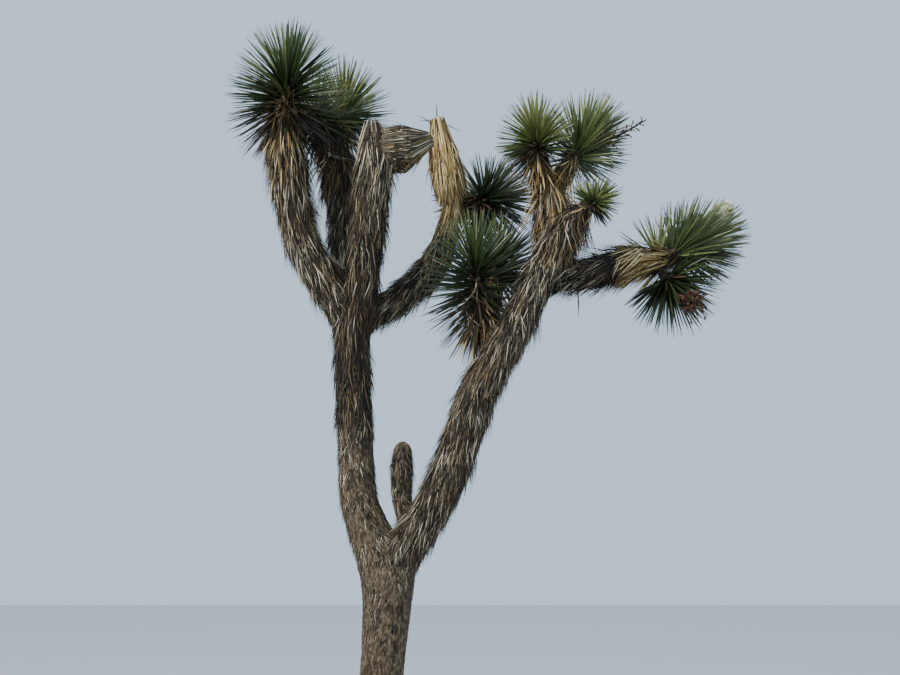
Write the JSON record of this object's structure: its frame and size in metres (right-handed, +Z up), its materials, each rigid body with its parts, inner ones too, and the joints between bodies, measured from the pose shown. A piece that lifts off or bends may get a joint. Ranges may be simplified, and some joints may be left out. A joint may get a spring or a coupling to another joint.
{
  "type": "joshua tree",
  "caption": "Branching desert yucca tree: leaning trunk with a root flare, thick limbs wrapped in dead-leaf thatch, and round heads of stiff dagger leaves.",
  "frame": {"origin": "centre of the flat cut under the trunk, at ground level", "axes": "+Z up, +X to the right and -Y towards the viewer of the picture"},
  "size_m": [2.9176, 1.3138, 4.6639],
  "materials": {
    "bark": "rough corky fibrous bark",
    "thatch": "shaggy thatch of dead grey-brown leaves",
    "leaf_green": "stiff satin dagger leaves",
    "leaf_straw": "dry straw-coloured dead leaves"
  },
  "bodies": {
    "root": {"trunk": "bark", "left_stem": "bark", "right_stem": "thatch", "right_bough": "thatch", "arm_bough": "thatch", "top_bough": "thatch", "inner_bough": "thatch", "bent_bough": "thatch", "bent_bough_tip": "thatch", "front_bough": "thatch", "rear_bough": "thatch", "outer_bough": "thatch", "dead_stub": "bark", "crown_outer": "leaf_green", "crown_rear_front": "leaf_green", "crown_rear_top": "leaf_green", "dead_head_bent": "leaf_straw", "dead_head_tall": "leaf_straw", "crown_hidden": "leaf_green", "crown_inner_front": "leaf_green", "crown_inner_rear": "leaf_green", "crown_top_left": "leaf_green", "crown_top_right": "leaf_green", "crown_small": "leaf_green", "crown_arm_upper": "leaf_green", "crown_arm_lower": "leaf_green", "crown_arm_rear": "leaf_green"}
  },
  "joints": []
}
